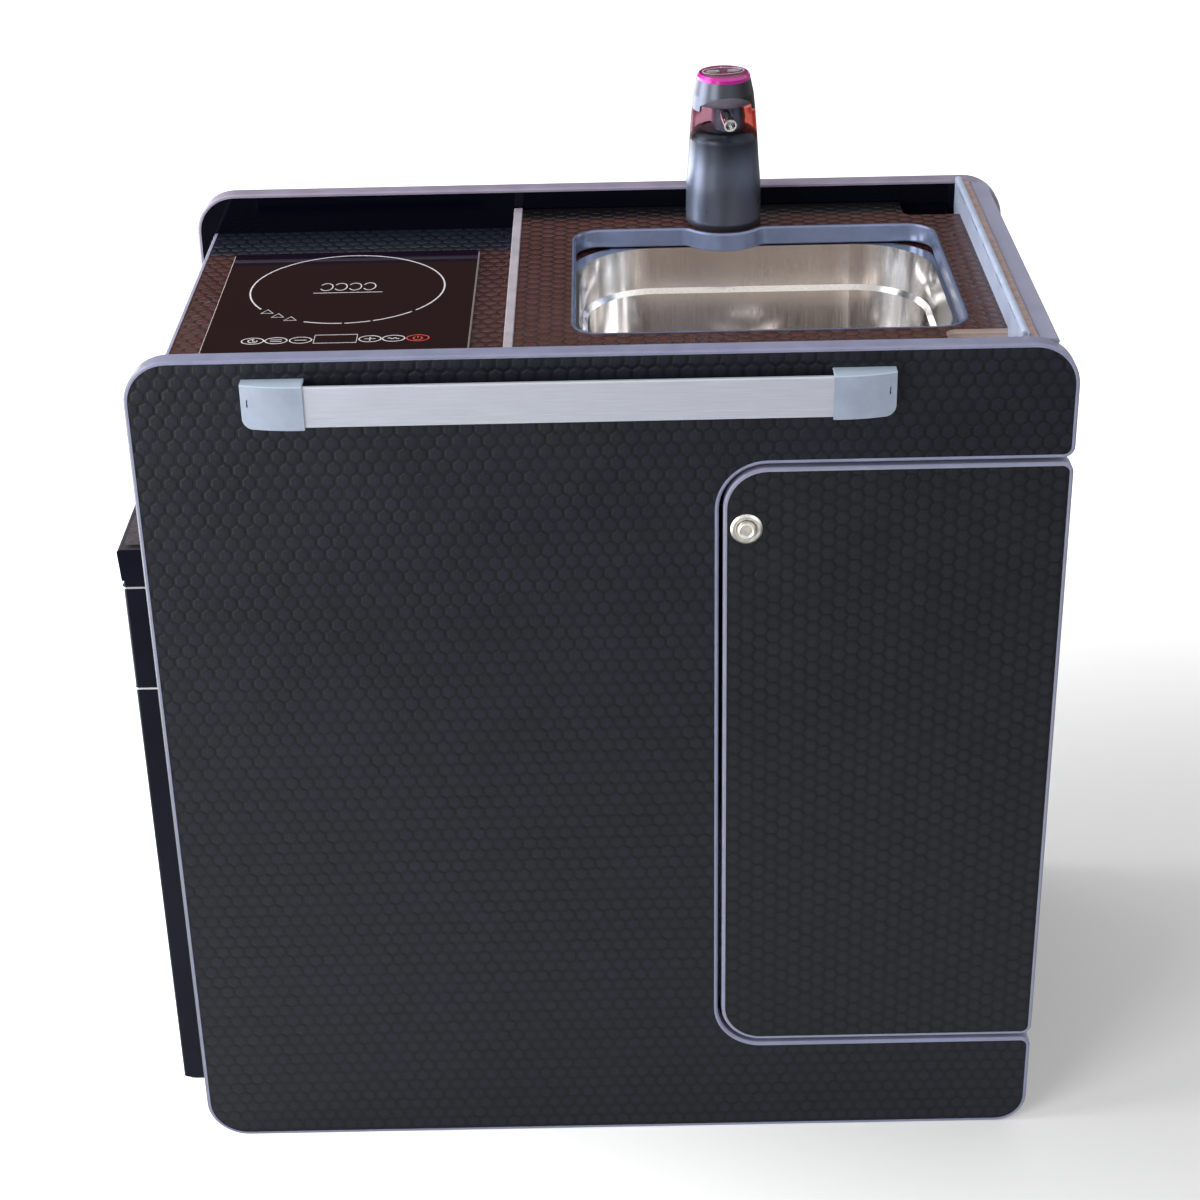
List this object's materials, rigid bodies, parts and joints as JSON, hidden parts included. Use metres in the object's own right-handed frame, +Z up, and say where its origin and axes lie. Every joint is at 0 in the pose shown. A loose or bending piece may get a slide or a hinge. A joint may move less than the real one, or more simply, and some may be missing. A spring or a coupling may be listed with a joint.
{
  "type": "campervan fridge pod",
  "caption": "Campervan kitchen pod with a fridge, an induction hob, a lifting sink lid with its tap, a cupboard and a table rail between two rounded panels.",
  "frame": {"origin": "on the floor, at the middle of the pod's footprint", "axes": "+X to the right as seen from the front, +Y from the front panel to the rear panel, +Z up"},
  "size_m": [0.7454, 0.4281, 0.8495],
  "materials": {
    "black_laminate": "near-black laminate on birch ply, embossed with small hexagons",
    "edge_trim": "satin blue-grey vinyl T-trim",
    "bare_ply": "bare birch ply",
    "capping_metal": "satin anodised",
    "rail_metal": "fine brushed and anodised",
    "cap_plastic": "satin grey plastic",
    "stainless": "bright pressed stainless steel",
    "zinc": "plated steel",
    "pin_steel": "bright steel rod",
    "hob_glass": "polished black ceramic glass with white markings",
    "hob_case": "black moulded case",
    "tap_black": "soft satin black",
    "tap_clear": "smoked clear plastic",
    "tap_grey": "satin dark grey",
    "tap_magenta": "glossy magenta ring",
    "touch_black": "smoked touch plate",
    "chrome": "chrome plated",
    "satin_nickel": "satin nickel",
    "lock_black": "black moulded nylon",
    "rubber_black": "black rubber",
    "fridge_gloss": "gloss black",
    "fridge_shell": "dark foam-filled shell",
    "fridge_liner": "white moulded liner",
    "wire_coat": "white coated wire",
    "cold_plate": "roll-bond aluminium",
    "compressor_black": "black painted steel",
    "container_white": "milky polyethylene",
    "cap_blue": "blue and grey caps"
  },
  "bodies": {
    "pod": {"front_panel": "black_laminate", "front_panel_trim": "edge_trim", "rear_panel": "black_laminate", "rear_panel_trim": "edge_trim", "right_side_board": "black_laminate", "board_edge_trims": "edge_trim", "left_fascia_board": "black_laminate", "base_board": "black_laminate", "divider_wall": "black_laminate", "battens": "bare_ply", "worktop_board": "black_laminate", "lid_bumpers": "rubber_black", "hinge_packer": "bare_ply", "hob_glass": "hob_glass", "hob_case": "hob_case", "sink_pan": "stainless", "sink_drain": "chrome", "lid_hinge_fixed_leaf": "zinc", "hinge_pins": "pin_steel", "table_rail": "rail_metal", "rail_caps": "cap_plastic", "strike_plate": "lock_black", "door_hinge_fixed_leaves": "zinc", "hinge_screws": "zinc", "fridge_case": "fridge_shell", "fridge_liner": "fridge_liner", "fridge_shelves": "wire_coat", "fridge_evaporator": "cold_plate", "thermostat_housing": "fridge_liner", "fridge_compressor": "compressor_black", "fridge_hinge_plates": "zinc", "water_containers": "container_white", "container_caps": "cap_blue"},
    "sink_lid": {"lid_board": "black_laminate", "lid_cutout_trim": "edge_trim", "lid_edge_capping": "capping_metal", "lid_hinge_moving_leaf": "zinc", "tap_base": "tap_black", "tap_body": "tap_black", "tap_sleeve": "tap_clear", "tap_outlet": "chrome", "tap_cap": "tap_grey", "tap_ring": "tap_magenta", "tap_touch_plate": "touch_black"},
    "tap_left_key": {"tap_button_left": "touch_black"},
    "tap_right_key": {"tap_button_right": "touch_black"},
    "cupboard_door": {"door_board": "black_laminate", "door_trim": "edge_trim", "lock_rosette": "satin_nickel", "lock_case": "lock_black", "door_hinge_moving_leaves": "zinc"},
    "door_lock_button": {"lock_button": "satin_nickel"},
    "door_lock_bolt": {"lock_bolt": "zinc"},
    "fridge_door": {"fridge_door_panels": "fridge_gloss", "fridge_door_strips": "rail_metal", "fridge_door_handle": "fridge_gloss", "fridge_door_gasket": "rubber_black", "fridge_door_liner": "fridge_liner", "fridge_door_racks": "fridge_liner"},
    "fridge_thermostat": {"thermostat_knob": "fridge_liner"}
  },
  "joints": [
    {"name": "sink_lid_hinge", "type": "hinge", "parent": "pod", "child": "sink_lid", "pos_m": [0.33255, 0.00855, 0.7362], "axis": [0, 1, 0], "range_deg": [0, 100]},
    {"name": "tap_left_key_press", "type": "slide", "parent": "sink_lid", "child": "tap_left_key", "axis": [0, 0, -1], "range_m": [0, 0.0008], "stiffness_N_per_m": 400, "springref_m": -0.0004},
    {"name": "tap_right_key_press", "type": "slide", "parent": "sink_lid", "child": "tap_right_key", "axis": [0, 0, -1], "range_m": [0, 0.0008], "stiffness_N_per_m": 400, "springref_m": -0.0004},
    {"name": "cupboard_door_hinge", "type": "hinge", "parent": "pod", "child": "cupboard_door", "pos_m": [0.36135, -0.17785, 0.366], "axis": [0, 0, 1], "range_deg": [0, 100]},
    {"name": "door_lock_press", "type": "slide", "parent": "cupboard_door", "child": "door_lock_button", "axis": [0, 1, 0], "range_m": [0, 0.0025]},
    {"name": "door_lock_bolt_slide", "type": "slide", "parent": "cupboard_door", "child": "door_lock_bolt", "axis": [-1, 0, 0], "range_m": [0, 0.009]},
    {"name": "fridge_door_hinge", "type": "hinge", "parent": "pod", "child": "fridge_door", "pos_m": [-0.35775, -0.15695, 0.30385], "axis": [0, 0, 1], "range_deg": [0, 110]},
    {"name": "thermostat_turn", "type": "hinge", "parent": "pod", "child": "fridge_thermostat", "pos_m": [-0.26225, 0.14155, 0.423], "axis": [-1, 0, 0], "range_deg": [0, 280]}
  ],
  "couplings": [
    {"joint": "door_lock_bolt_slide", "follows": "door_lock_press", "ratio": 3.6}
  ]
}
